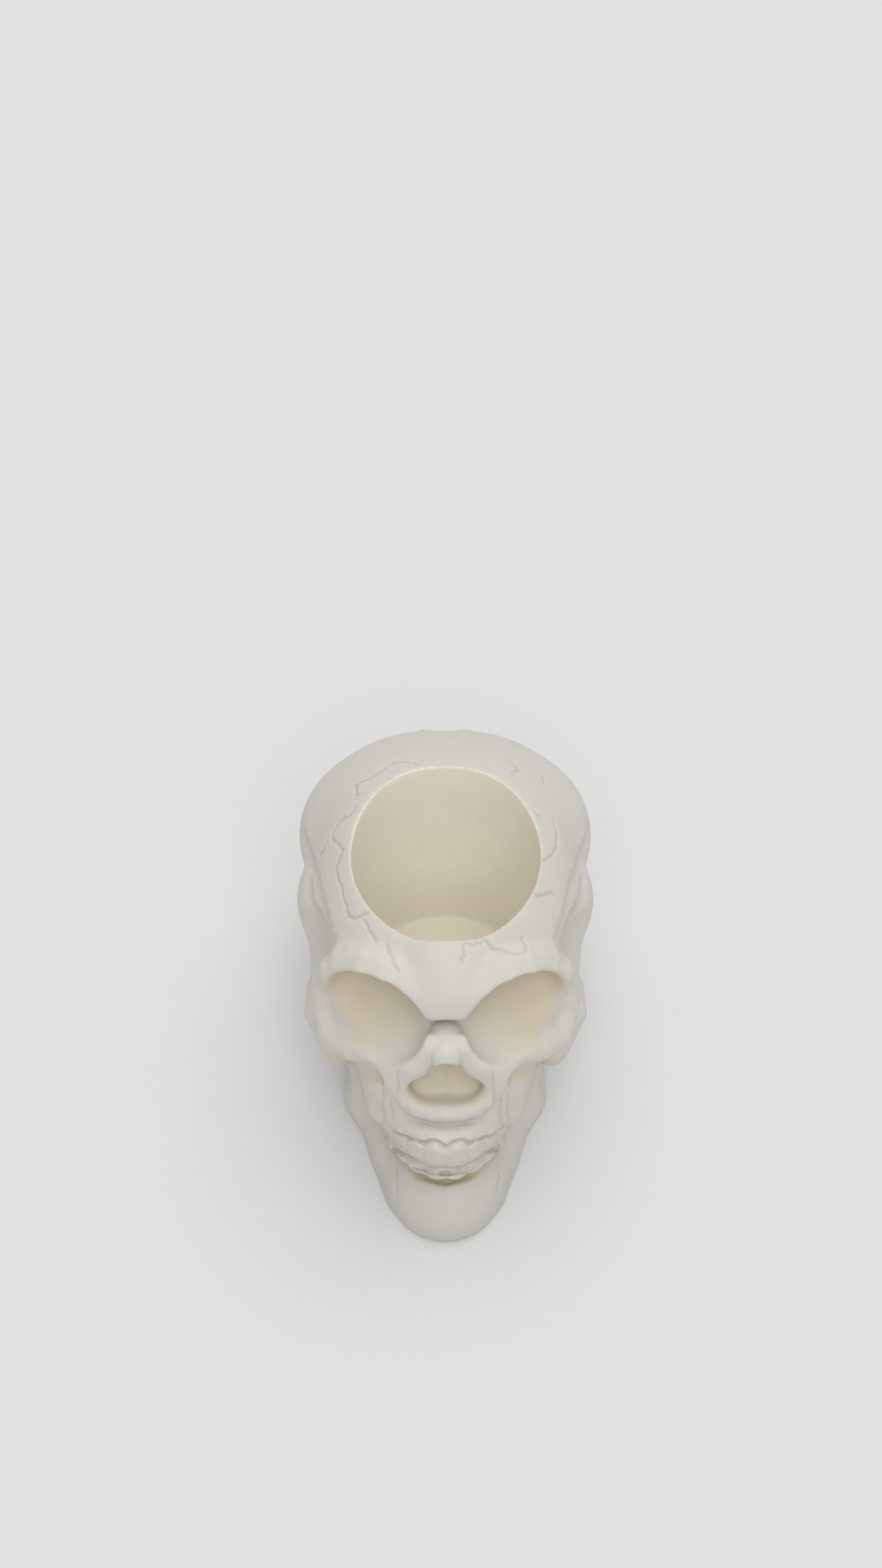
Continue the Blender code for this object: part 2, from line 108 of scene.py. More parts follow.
# The cheekbone, its arch to the ear, and what is open below it
CHEEK = ((31.5, -24, 72, 3.9), (34.6, -22, 64, 3.9), (34.6, -24.5, 56, 4.4), (32.2, -31, 51, 4.6),
         (26, -36.4, 53.2, 4.6), (19.5, -39.6, 56.8, 4.6), (13, -41.5, 58.6, 4.8))
MAXILLA_MIDDLE, MAXILLA_RADII = (11.5, -40.0, 43.0), (12.0, 11.0, 14.0)
CHEEK_BODY_MIDDLE, CHEEK_BODY_RADII, CHEEK_BODY_TURN = (31.0, -28.0, 45.0), (6.0, 8.0, 10.0), (15, 0, 0)
ARCH = ((34, -27.5, 47, 4.6), (38.6, -18, 44, 4.1), (39.4, -5, 38.5, 4.0), (36, 12, 34, 5))
UNDERCUT = ((33.5, -37.5, 43.5, 3.6), (26, -43.2, 48.2, 2.8), (18.5, -47.4, 53.2, 1.8))
JAW_GAP_MIDDLE, JAW_GAP_RADII, JAW_GAP_TURN = (28.3, -33.0, 30.0), (4.6, 10.0, 17.0), (10, 0, 0)

# The nose: a squared bone above, a flank on each side, a pear-shaped opening and the sill below it
NOSE_BONE = ((0, -42.7, 65.6, 4.9), (0, -46.4, 64.6, 5.4))
NOSE_BONE_HALF_WIDTH = 3.7
NOSE_FLANK = ((4.6, -44.8, 65.5, 4.4), (8.8, -45.6, 60, 5.2), (13.2, -45.2, 53.5, 5.6))
NOSE_WIDE_MIDDLE, NOSE_WIDE_RADII = (4.8, -48.8, 50.9), (6.1, 10.0, 5.6)
NOSE_TALL_MIDDLE, NOSE_TALL_RADII = (0.0, -48.5, 57.4), (4.4, 10.5, 7.0)
NOSE_TURN = (-38, 0, 0)
# The floor of the nose rises to the back from a point behind its sill
NOSE_FLOOR_POINT, NOSE_FLOOR_FACING = (0.0, -50.5, 47.6), (0.0, -0.45, 0.9)
NOSE_BASE = ((0, -50.6, 43.2, 4.6), (7, -49.4, 44, 4.3), (11, -48.2, 45.6, 3.4))
SILL = ((12.8, -46.8, 54, 2.2), (12.7, -48.6, 50.6, 2.3), (11.0, -50.6, 48.0, 2.3), (8.0, -52.3, 46.5, 2.4),
        (4.2, -53.3, 46.1, 2.5), (0, -53.7, 46.2, 2.6))

# The upper jaw
FACE_MIDDLE, FACE_RADII, FACE_TURN = (0.0, -28.0, 54.0), (20.0, 20.0, 26.0), (-15, 0, 0)
COLUMN = ((20.0, -33.5, 51, 5.5), (18.5, -38.5, 42, 5.5), (17, -42.5, 33, 6))
# Gums and teeth follow a bend of this radius at the middle, on planes that tilt back with the skull. Each band has
# its front, top and foot at the middle plane, its thickness and half its width, and the rounding of its edges.
ARCH_BEND = 10.5
TILT = math.radians(26)
GUM = (-62.0, 45.5, 35.0, 12.0, 22.5, 4.8)
UPPER_TEETH = (-63.0, 41.3, 33.2, 12.0, 21.0, 1.2)
LOWER_TEETH = (-60.8, 36.0, 23.5, 10.0, 18.0, 1.2)
LOWER_RIDGE = (-62.2, 26.4, 23.4, 5.0, 18.5, 1.1)
LOWER_GUM = (-54.0, 26.0, 0.0, 14.0, 18.0, 2.5)
BAND_END = 3.5
# The gum line and the cutting edges wave from tooth to tooth, and a shallow groove parts the teeth
TOOTH_PITCH = 6.7
GUM_WAVE = 0.8
EDGE_WAVE = 0.4
TOOTH_GROOVE = 0.3

# The lower jaw, with its body pressed flat to the table and a groove between chin and teeth
JAW_STRETCH = 0.6
JAW_BODY = ((10.8, -52.5, 0, 8), (15.5, -42, 0, 7.6), (19.0, -31, 1, 7.6), (25.5, -22, 2, 7), (25.5, 0, 2, 7))
RAMUS = ((25.0, -26.5, 6, 5.4), (24.9, -24, 18, 4.8), (26.2, -18, 27, 4.6), (28.2, -6, 38, 4.8))
CHIN_MIDDLE, CHIN_RADII = (0.0, -52.0, 3.5), (17.5, 17.4, 15.5)
CHIN_GROOVE = ((0, -57.6, 18.1, 2.6), (9, -55.6, 18.3, 2.5), (14.5, -50, 18.4, 1.5))

# How wide the fillet is where two shapes meet, from a broad blend to a sharp crease
BROAD, WIDE, FULL, EVEN, SLIGHT, CLOSE, TIGHT, CRISP, SHARP = 8.0, 6.0, 5.0, 4.0, 3.0, 2.0, 1.5, 1.0, 0.5


class Field:
    """A number at every point of space, made of the nodes of one Geometry Nodes tree."""
    tree = None

    def __init__(self, socket):
        self.socket = socket

    @classmethod
    def node(cls, kind, inputs, output=0, **settings):
        """A node of this kind; inputs holds a number, a vector or a field for each of its sockets."""
        made = cls.tree.nodes.new(kind)
        for name, value in settings.items():
            setattr(made, name, value)
        for index, value in enumerate(inputs):
            if isinstance(value, Field):
                cls.tree.links.new(value.socket, made.inputs[index])
            elif value is not None:
                made.inputs[index].default_value = value
        return cls(made.outputs[output])

    @classmethod
    def math(cls, operation, *values):
        return cls.node("ShaderNodeMath", values, operation=operation)

    @classmethod
    def vector(cls, operation, *values, output=0):
        return cls.node("ShaderNodeVectorMath", values, output, operation=operation)

    def __add__(self, other):
        return Field.math("ADD", self, other)

    def __radd__(self, other):
        return Field.math("ADD", other, self)

    def __sub__(self, other):
        return Field.math("SUBTRACT", self, other)

    def __rsub__(self, other):
        return Field.math("SUBTRACT", other, self)

    def __mul__(self, other):
        return Field.math("MULTIPLY", self, other)

    def __rmul__(self, other):
        return Field.math("MULTIPLY", other, self)

    def __truediv__(self, other):
        return Field.math("DIVIDE", self, other)

    def __neg__(self):
        return Field.math("MULTIPLY", self, -1.0)

    def __pow__(self, other):
        return Field.math("POWER", self, other)

    def least(self, other):
        return Field.math("MINIMUM", self, other)

    def most(self, other):
        return Field.math("MAXIMUM", self, other)

    def size(self):
        return Field.math("ABSOLUTE", self)

    def join(self, other, soft):
        """Both shapes, with a fillet about as wide as soft."""
        return Field.math("SMOOTH_MIN", self, other, soft)

    def cut(self, other, soft):
        """This shape without the other."""
        return Field.math("SMOOTH_MAX", self, -other, soft)

    def keep(self, other, soft):
        """What lies in both shapes."""
        return Field.math("SMOOTH_MAX", self, other, soft)


def split(vector):
    parts = Field.tree.nodes.new("ShaderNodeSeparateXYZ")
    Field.tree.links.new(vector.socket, parts.inputs[0])
    return [Field(output) for output in parts.outputs]


def rising(value, start, end):
    """0 up to start and 1 from end on."""
    return Field.node("ShaderNodeMapRange", (value, start, end))


def scaled(vector, factor):
    return Field.node("ShaderNodeVectorMath", (vector, None, None, factor), operation="SCALE")


def turned(point, centre, turn):
    """The point as seen from a centre that is turned by these degrees about X, Y and Z."""
    away = Field.vector("SUBTRACT", point, centre)
    if not any(turn):
        return away
    angles = [-math.radians(angle) for angle in turn]
    return Field.node("ShaderNodeVectorRotate", (away, None, None, None, angles), rotation_type="EULER_XYZ")


def egg(point, centre, radii, turn=(0, 0, 0)):
    """An ellipsoid with these radii, turned by these degrees."""
    away = turned(point, centre, turn)
    near = Field.vector("LENGTH", Field.vector("DIVIDE", away, radii), output=1) + 0.001
    slope = Field.vector("LENGTH", Field.vector("DIVIDE", away, [r * r for r in radii]), output=1)
    return near * (near - 1.0) / (slope + 0.001 / min(radii))


def loaf(point, centre, radii, squareness):
    """An egg whose sections across X are squarer than an ellipse."""
    x, y, z = split(Field.vector("DIVIDE", Field.vector("SUBTRACT", point, centre), radii))
    x = x.size() + 0.001
    ring = Field.math("SQRT", y * y + z * z) + 0.001
    near = (x ** squareness + ring ** squareness) ** (1 / squareness)
    across = x ** (squareness - 1) / radii[0]
    along = ring ** (squareness - 2) * Field.math("SQRT", y * y / radii[1] ** 2 + z * z / radii[2] ** 2)
    slope = Field.math("SQRT", across * across + along * along) * near ** (1 - squareness)
    return (near - 1.0) / (slope + 1e-5)


def rod(point, start, end, start_radius, end_radius):
    """A straight rod with round ends, whose radius changes along it."""
    along = Vector(end) - Vector(start)
    away = Field.vector("SUBTRACT", point, start)
    share = Field.vector("DOT_PRODUCT", away, along, output=1) / along.length_squared
    share = share.most(0.0).least(1.0)
    off = Field.vector("LENGTH", Field.vector("SUBTRACT", away, scaled(along, share)), output=1)
    return off - (share * (end_radius - start_radius) + start_radius)


def chain(point, stops):
    """Rods from stop to stop, each stop (x, y, z, radius)."""
    made = None
    for start, end in zip(stops, stops[1:]):
        piece = rod(point, start[:3], end[:3], start[3], end[3])
        made = piece if made is None else made.join(piece, SHARP)
    return made


def braincase(side):
    form = loaf(side, VAULT_MIDDLE, VAULT_RADII, VAULT_SQUARENESS)
    form = form.join(egg(side, PARIETAL_MIDDLE, PARIETAL_RADII), BROAD)
    form = form.join(egg(side, CROWN_MIDDLE, CROWN_RADII), CLOSE)
    form = form.join(egg(side, TEMPLE_MIDDLE, TEMPLE_RADII), SLIGHT)
    form = form.join(egg(side, FOREHEAD_MIDDLE, FOREHEAD_RADII), BROAD)
    return form.cut(egg(side, TEMPLE_DIP_MIDDLE, TEMPLE_DIP_RADII), FULL)


def over(side, place, facing):
    """The height over a plane that is given by a point on it and the way it faces."""
    return Field.vector("DOT_PRODUCT", Field.vector("SUBTRACT", side, place), Vector(facing).normalized(), output=1)


def orbit(side):
    """The eye's bowl, which ends at the flat of the cheek, and whose back keeps a wall to the well."""
    x, y, z = split(side)
    bowl = egg(side, ORBIT_MIDDLE, ORBIT_RADII, ORBIT_TURN)
    bowl = bowl.keep(-over(side, CHEEK_FLAT_POINT, CHEEK_FLAT_FACING), WIDE)
    return bowl.keep(WELL_DIAMETER / 2 + WELL_WALL - Field.math("SQRT", x * x + y * y), EVEN)


def arch(side):
    body = egg(side, CHEEK_BODY_MIDDLE, CHEEK_BODY_RADII, CHEEK_BODY_TURN)
    return body.join(chain(side, ARCH), SLIGHT)


def below_cheek(side):
    gap = egg(side, JAW_GAP_MIDDLE, JAW_GAP_RADII, JAW_GAP_TURN)
    return gap.join(chain(side, UNDERCUT), SLIGHT)


def nose_opening(side):
    wide = egg(side, NOSE_WIDE_MIDDLE, NOSE_WIDE_RADII, NOSE_TURN)
    form = wide.join(egg(side, NOSE_TALL_MIDDLE, NOSE_TALL_RADII, NOSE_TURN), EVEN)
    return form.keep(-over(side, NOSE_FLOOR_POINT, NOSE_FLOOR_FACING), EVEN)


def between_teeth(x):
    """1 where two teeth meet and -1 at the middle of each, by the length along the bend of the jaw."""
    slope = x / ARCH_BEND
    steep = Field.math("SQRT", slope * slope + 1.0)
    arc = (slope * steep + Field.math("LOGARITHM", slope + steep, math.e)) * (ARCH_BEND / 2)
    return Field.math("COSINE", arc * (math.tau / TOOTH_PITCH))


def band(side, front, top, foot, thickness, half_width, rounding, top_wave=0.0, foot_wave=0.0, groove=0.0):
    """A block that follows the bend of the jaw, with edges that wave and grooves that part the teeth."""
    x, y, z = split(side)
    bend = x * x / (2 * ARCH_BEND)
    steep = Field.math("SQRT", x * x / ARCH_BEND ** 2 + 1.0)
    inward = (y - bend - front) / steep
    level = (z + y * math.tan(TILT) - ((top + foot) / 2 + front * math.tan(TILT))) * math.cos(TILT)
    above, below = level, -level
    if top_wave or foot_wave or groove:
        gap = between_teeth(x)
        above = level + gap * top_wave
        below = gap * foot_wave - level
        inward = inward - gap.most(0.0) ** 4.0 * groove
    across = (inward - thickness / 2).size() - (thickness / 2 - rounding)
    rise = above.most(below) - ((top - foot) / 2 * math.cos(TILT) - rounding)
    past_across, past_rise = across.most(0.0), rise.most(0.0)
    outside = Field.math("SQRT", past_across * past_across + past_rise * past_rise)
    return (outside + across.most(rise).least(0.0) - rounding).keep(x - half_width, BAND_END)


def teeth(side):
    form = band(side, *UPPER_TEETH, GUM_WAVE, EDGE_WAVE, TOOTH_GROOVE)
    form = form.join(band(side, *LOWER_TEETH, 0.0, 0.0, TOOTH_GROOVE), SHARP)
    form = form.join(band(side, *LOWER_RIDGE, EDGE_WAVE, EDGE_WAVE, TOOTH_GROOVE), SHARP)
    return form.join(band(side, *LOWER_GUM), CLOSE)


def jaw(side):
    low = Field.vector("MULTIPLY", side, (1, 1, JAW_STRETCH))
    form = chain(low, JAW_BODY).join(chain(side, RAMUS), SLIGHT)
    return form.join(egg(side, CHIN_MIDDLE, CHIN_RADII), EVEN)


def skull(point):
    x, y, z = split(point)
    side = Field.node("ShaderNodeCombineXYZ", (x.size(), y, z))
    form = braincase(side)
    form = form.join(egg(side, FACE_MIDDLE, FACE_RADII, FACE_TURN).join(chain(side, COLUMN), FULL), WIDE)
    form = form.join(chain(side, BROW), BROAD)
    form = form.join(egg(side, GLABELLA_MIDDLE, GLABELLA_RADII, GLABELLA_TURN), WIDE)
    form = form.join(chain(side, CHEEK), EVEN)
    form = form.join(chain(side, NOSE_FLANK), WIDE)
    form = form.join(egg(side, MAXILLA_MIDDLE, MAXILLA_RADII), FULL)
    form = form.cut(orbit(side), SLIGHT).join(chain(side, BROW_EDGE), EVEN)
    form = form.cut(egg(side, NASION_MIDDLE, NASION_RADII, NASION_TURN), SLIGHT)
    form = form.join(chain(side, NOSE_BONE).keep(x.size() - NOSE_BONE_HALF_WIDTH, CRISP), TIGHT)
    form = form.join(band(side, *GUM), WIDE)
    form = form.cut(below_cheek(side), CRISP)
    form = form.join(arch(side), CLOSE)
    form = form.join(teeth(side), CRISP)
    form = form.join(chain(side, NOSE_BASE), CLOSE).cut(nose_opening(side), TIGHT)
    form = form.join(chain(side, SILL), SLIGHT)
    form = form.join(jaw(side), CLOSE).cut(chain(side, CHIN_GROOVE), TIGHT)
    form = form.join(egg(side, FLOOR_MIDDLE, FLOOR_RADII), EVEN)
    form = form.join(egg(side, NAPE_MIDDLE, NAPE_RADII), WIDE)
    return form


# Lines cut into the skin, as stops of (x, y, z): ragged cracks of the crown, the edges of gum and teeth, creases
# beside the mouth and on the chin, and broad folds at the temples
CRACKS = (
    ((-9, 28.5, 103), (-12.5, 30.5, 102), (-15.5, 31.5, 101.5), (-17.5, 29, 101.5), (-20.5, 26.5, 100.5),
     (-23.5, 25.5, 99.5), (-27.5, 25.5, 97), (-26.5, 22.5, 98), (-26, 19.5, 98.5)),
    ((-26.5, 15, 98), (-28.5, 12.5, 96.5), (-30.5, 13, 95), (-32.5, 12, 93), (-33.5, 10, 91), (-31.5, 6, 92.5),
     (-29.5, 2.5, 93.5), (-30.5, 0.5, 92.5), (-31.5, -1.5, 90.5), (-31, -4.5, 89.5), (-29.5, -8, 89.5),
     (-29, -11.5, 88.5), (-28, -14.5, 87.5), (-27.5, -17, 86.5), (-24.5, -18, 87.5), (-21.5, -18, 89.5)),
    ((-23, -19.5, 88), (-21, -22, 87), (-19, -24.5, 85.5)),
    ((-16, -26.5, 85.5), (-15, -29, 85), (-14.5, -31.5, 84.5), (-13, -33, 84)),
    ((-34.5, 11, 89.5), (-36, 8.5, 86.5), (-37, 9, 84.5)),
    ((18.5, 33, 100), (20.5, 32, 99.5), (21.5, 29.5, 100), (20, 26.5, 101)),
    ((29.5, 32, 95), (30, 28, 95)),
    ((26, 13, 98.5), (28, 11.5, 97)),
    ((31.5, 14, 93.5), (33, 10.5, 92), (32, 4.5, 92), (30.5, 1, 92.5), (27.5, -3, 93.5)),
    ((35.5, 10.5, 88), (36.5, 8.5, 85.5)),
    ((30.5, -9.5, 88), (27.5, -11.5, 90), (25, -13, 91)),
    ((5, -28, 88), (8.5, -27, 87), (10.5, -26, 87), (13, -27.5, 85.5), (16, -28, 85), (19, -28.5, 85),
     (22, -28, 84.5), (22, -26, 84.5), (21, -23.5, 85.5)),
    ((5, -28.5, 87.5), (5, -30.5, 86.5), (4, -32, 86)),
)
TOOTH_LINES = (
    ((-18.5, -48.5, 32.5), (-15.5, -51.5, 32.5), (-13, -55, 36), (-11, -56.5, 37), (-9, -58.5, 39.5),
     (-6.5, -60, 40), (-5, -60, 41.5), (-3.5, -60.5, 42.5), (-2, -61, 42.5), (0, -62, 41.2), (2, -61, 42.5),
     (3.5, -60.5, 42.5), (5, -60, 42), (7, -60, 39.5), (8.5, -59, 40), (10, -57.5, 38), (12, -55.5, 36),
     (14.5, -52.5, 33), (17.5, -49, 30.5)),
    ((-15, -49.5, 19.5), (-13, -53, 22.5), (-11.5, -54, 23.5), (-9.5, -56.5, 25.5), (-7, -58, 26.5),
     (-5, -59.5, 26.5), (-3, -60.5, 27.5), (-1.5, -60.5, 28), (0, -60.5, 28), (2.5, -60.5, 27.5),
     (4.5, -60, 26.5), (6.5, -58, 26), (8, -57.5, 26), (10.5, -55.5, 25), (12.5, -53, 23.5),
     (14.5, -51.5, 21.5), (15.5, -49, 19)),
    ((-9.5, -58, 22.5), (-7.5, -59, 24), (-4.5, -61, 25), (-3.5, -61.5, 25.5), (-2, -61.5, 25.5),
     (0, -61, 25.5), (1.5, -61.5, 25.5), (3, -61.5, 26), (4.5, -61, 25.5), (6, -60, 24), (7, -59.5, 23.5),
     (8.5, -59, 24)),
)
CREASES = (
    ((-14.5, -53, 13), (-15, -55, 12), (-14.5, -56.5, 12), (-15, -58, 10.5), (-14.5, -59.5, 10)),
    ((16, -53, 11.5), (16.5, -54, 10.5), (15.5, -55.5, 11), (16, -57.5, 9.5), (15.5, -58.5, 9)),
    ((-17.5, -47.5, 52), (-17.5, -49, 47.5), (-18, -49, 40.5), (-18, -49.5, 34.5)),
    ((-15.5, -50, 46), (-15, -50.5, 42.5), (-15.5, -51, 38)),
    ((-13.5, -49.5, 59.5), (-13, -50.5, 55), (-13.5, -51, 51)),
    ((13, -50, 59.5), (13, -51, 54), (13.5, -51, 47)),
    ((15.5, -50, 47), (15.5, -50.5, 39.5), (16.5, -50, 33)),
    ((17.5, -49, 47.5), (17.5, -49, 39), (18.5, -49, 33)),
)
FOLDS = (
    ((-41, 6.5, 74.5), (-38.5, -2, 72), (-34.5, -14, 76), (-33, -22, 76.5)),
    ((-37.5, 1, 80.5), (-35.5, -7, 81), (-34, -13.5, 79.5), (-32, -19, 78)),
    ((-45, 29, 74.5), (-42, 18.5, 75), (-38, 1.5, 81)),
    ((37.5, 1.5, 82), (35, -8.5, 81), (32, -18.5, 79)),
    ((41.5, 8, 74), (38.5, -2, 72), (33, -22, 77)),
    ((45.5, 30, 74), (42, 18.5, 74.5), (38, 2, 81)),
)
# For each kind: half its width, its depth, how far its line wavers, and how much its depth counts for the painted
# shade in it
CUTS = {"tooth lines": (TOOTH_LINES, 1.1, 0.85, 0.0, 1.0), "cracks": (CRACKS, 0.7, 0.45, 1.6, 1.0),
        "creases": (CREASES, 0.9, 0.35, 0.3, 1.0), "folds": (FOLDS, 4.0, 0.9, 0.8, 0.2)}
LINE_STEP = 0.5
WAVER_NOISE = (0.6, 3.0, 0.6)
# Where the painted shade of the eyes, the nose and the recesses and the painted light of the well lie: how far from a
# hollow's wall it starts and is whole, how far into the face from the middle of a hollow, and how strong the painted
# shade gets
INTO_FACE = (0.0, 0.95, -0.3)
OFF_WELL, OFF_WALL, OFF_RECESS = (0.4, 0.2), (1.95, 0.45), (1.5, 0.0)
EYE_INWARD, NOSE_INWARD = (-2.0, 6.0), (-5.0, 1.0)
EYE_SHADE, NOSE_SHADE, RECESS_SHADE = 0.5, 0.6, 0.4


def moulding(point, sizes):
    """The skull, with its well and its flat underside."""
    x, y, z = split(point)
    well = Field.math("SQRT", x * x + y * y) - sizes["Well Diameter"] / 2
    well = well.keep(sizes["Well Floor"] - z, sizes["Well Corner"])
    return skull(point).cut(well, sizes["Rim Rounding"]).keep(-z, UNDER_EDGE)


def inward(side, middle):
    """How far a point lies into the face from the middle of a hollow."""
    return Field.vector("DOT_PRODUCT", Field.vector("SUBTRACT", side, middle), INTO_FACE, output=1)


def hollow(point, sizes):
    """1 in the well, which is painted paler as light, about half of that in the eyes, the nose and the recesses,
    which are painted darker and warmer as shade, and 0 on the open surface.
    """
    x, y, z = split(point)
    side = Field.node("ShaderNodeCombineXYZ", (x.size(), y, z))
    off_well = Field.math("SQRT", x * x + y * y) - sizes["Well Diameter"] / 2
    off_recess = chain(side, UNDERCUT).least(chain(side, CHIN_GROOVE))
    in_eye = rising(orbit(side), *OFF_WALL) * rising(inward(side, ORBIT_MIDDLE), *EYE_INWARD)
    in_nose = rising(nose_opening(side), *OFF_WALL) * rising(inward(side, NOSE_WIDE_MIDDLE), *NOSE_INWARD)
    hollow_shade = (in_eye * EYE_SHADE).most(in_nose * NOSE_SHADE).most(rising(off_recess, *OFF_RECESS) * RECESS_SHADE)
    return hollow_shade.most(rising(off_well, *OFF_WELL))


def form_group():
    """The field of the moulding as a group, so that its value can be asked for at more than one place."""
    group = bpy.data.node_groups.new("Skull form", "GeometryNodeTree")
    group.interface.new_socket("Position", in_out="INPUT", socket_type="NodeSocketVector")
    for name in SIZES:
        group.interface.new_socket(name, in_out="INPUT", socket_type="NodeSocketFloat")
    for name in ("Distance", "Hollow"):
        group.interface.new_socket(name, in_out="OUTPUT", socket_type="NodeSocketFloat")
    Field.tree = group
    entry = group.nodes.new("NodeGroupInput")
    sizes = {name: Field(entry.outputs[name]) for name in SIZES}
    point = Field(entry.outputs["Position"])
    output = group.nodes.new("NodeGroupOutput")
    group.links.new(moulding(point, sizes).socket, output.inputs["Distance"])
    group.links.new(hollow(point, sizes).socket, output.inputs["Hollow"])
    return group


def to_surface(point, distance_at):
    """The step from a point of the raw mesh to the surface itself, along the field's slope."""
    distance = distance_at(point)
    slope = Field.node("ShaderNodeCombineXYZ", [
        (distance_at(Field.vector("ADD", point, aside)) - distance) / SLOPE_REACH
        for aside in ((SLOPE_REACH, 0, 0), (0, SLOPE_REACH, 0), (0, 0, SLOPE_REACH))])
    steepness = Field.vector("DOT_PRODUCT", slope, slope, output=1).most(LEAST_STEEPNESS)
    step = (-distance / steepness).most(-LONGEST_STEP).least(LONGEST_STEP)
    return scaled(slope, step)


def depth_of(lines, skin, point, half_width, depth, waver):
    """How deep the lines of one kind cut at a point of the skin. They waver and are laid onto the skin first."""
    curve = Field.node("GeometryNodeMeshToCurve", (Field.node("GeometryNodeObjectInfo", (lines,), output=4),))
    curve = Field.node("GeometryNodeResampleCurve", (curve, None, None, LINE_STEP), mode="LENGTH")
    drift = Field.node("ShaderNodeTexNoise", (point, None, *WAVER_NOISE), output=1, noise_dimensions="3D")
    drift = scaled(Field.vector("SUBTRACT", drift, (0.5, 0.5, 0.5)), 2 * waver)
    curve = Field.node("GeometryNodeSetPosition", (curve, None, None, drift))
    line = Field.node("GeometryNodeCurveToMesh", (curve,))
    onto = Field.node("GeometryNodeProximity", (skin,), target_element="FACES")
    line = Field.node("GeometryNodeSetPosition", (line, None, onto))
    away = Field.node("GeometryNodeProximity", (line,), output=1, target_element="EDGES")
    share = (1.0 - away / half_width).most(0.0)
    return share * share * (3.0 - share * 2.0) * depth


def skin_tree():
    """The tree of the moulding: field, skin, carved lines and lumps, and material."""
    group = form_group()
    tree = bpy.data.node_groups.new("Skull holder", "GeometryNodeTree")
    tree.interface.new_socket("Geometry", in_out="OUTPUT", socket_type="NodeSocketGeometry")
    for name in SIZES:
        tree.interface.new_socket(name, in_out="INPUT", socket_type="NodeSocketFloat")
    tree.interface.new_socket("Voxel", in_out="INPUT", socket_type="NodeSocketFloat")
    for name in CUTS:
        tree.interface.new_socket(name, in_out="INPUT", socket_type="NodeSocketObject")
    tree.interface.new_socket("Material", in_out="INPUT", socket_type="NodeSocketMaterial")
    Field.tree = tree
    entry = tree.nodes.new("NodeGroupInput")
    given = {socket.name: Field(socket) for socket in entry.outputs if socket.name}
    sizes = [given[name] for name in SIZES]
    point = Field.node("GeometryNodeInputPosition", ())

    def form(place, output=0):
        return Field.node("GeometryNodeGroup", (place, *sizes), output, node_tree=group)

    counts = [Field.math("ROUND", Field.math("DIVIDE", end - start, given["Voxel"])) + 1.0
              for start, end in zip(LOW, HIGH)]
    block = Field.node("GeometryNodeVolumeCube", (-form(point), BEYOND, LOW, HIGH, *counts))
    skin = Field.node("GeometryNodeVolumeToMesh", (block, None, None, 0.0), resolution_mode="GRID")
    for _ in range(SETTLING_STEPS):
        skin = Field.node("GeometryNodeSetPosition", (skin, None, None, to_surface(point, form)))
    lumps = Field.node("ShaderNodeTexNoise", (point, None, *LUMP_NOISE), noise_dimensions="3D") - 0.5
    rise = lumps * LUMPS
    # Painted shade in the cut lines: each kind's depth, by its weight, adds to the share that is stored as crease
    crease_shade = 0.0
    for name, (_, half_width, depth, waver, shade_weight) in CUTS.items():
        cut = depth_of(given[name], skin, point, half_width, depth, waver)
        rise = rise - cut
        crease_shade = cut * shade_weight + crease_shade
    # Stored for the material: the share of painted shade in the cuts, and the share of painted shade and painted
    # light in the hollows
    for name, value in (("crease", crease_shade), ("hollow", form(point, 1))):
        skin = Field.node("GeometryNodeStoreNamedAttribute", (skin, None, name, value), data_type="FLOAT")
    offset = scaled(Field.node("GeometryNodeInputNormal", ()), rise)
    skin = Field.node("GeometryNodeSetPosition", (skin, None, None, offset))
    x, y, z = split(point)
    over_table = Field.node("ShaderNodeCombineXYZ", (x, y, z.most(0.0)))
    skin = Field.node("GeometryNodeSetPosition", (skin, None, over_table))
    skin = Field.node("GeometryNodeTransform", (skin, None, None, (MM, MM, MM)))
    skin = Field.node("GeometryNodeSetShadeSmooth", (skin,))
    skin = Field.node("GeometryNodeRealizeInstances", (skin,))
    skin = Field.node("GeometryNodeSetMaterial", (skin, None, given["Material"]))
    tree.links.new(skin.socket, tree.nodes.new("NodeGroupOutput").inputs[0])
    return tree


class Shade:
    """A socket of one material's tree, with Python's operators for Math nodes on numbers."""

    def __init__(self, tree, socket):
        self.tree = tree
        self.socket = socket

    def node(self, kind, settings, values, output=0):
        """A node of this kind: its settings are set first, then each named or numbered socket's value or link."""
        made = self.tree.nodes.new(kind)
        for name, value in settings.items():
            setattr(made, name, value)
        for name, value in values.items():
            if isinstance(value, Shade):
                self.tree.links.new(value.socket, made.inputs[name])
            else:
                made.inputs[name].default_value = value
        return Shade(self.tree, made.outputs[output])

    def math(self, operation, *values):
        return self.node("ShaderNodeMath", {"operation": operation}, dict(enumerate(values)))

    def __add__(self, other):
        return self.math("ADD", self, other)

    def __radd__(self, other):
        return self.math("ADD", other, self)

    def __sub__(self, other):
        return self.math("SUBTRACT", self, other)

    def __rsub__(self, other):
        return self.math("SUBTRACT", other, self)

    def __mul__(self, other):
        return self.math("MULTIPLY", self, other)

    def __rmul__(self, other):
        return self.math("MULTIPLY", other, self)


def noise(place, scale, detail, roughness):
    return place.node("ShaderNodeTexNoise", {"noise_dimensions": "3D"},
                      {"Vector": place, "Scale": scale, "Detail": detail, "Roughness": roughness})


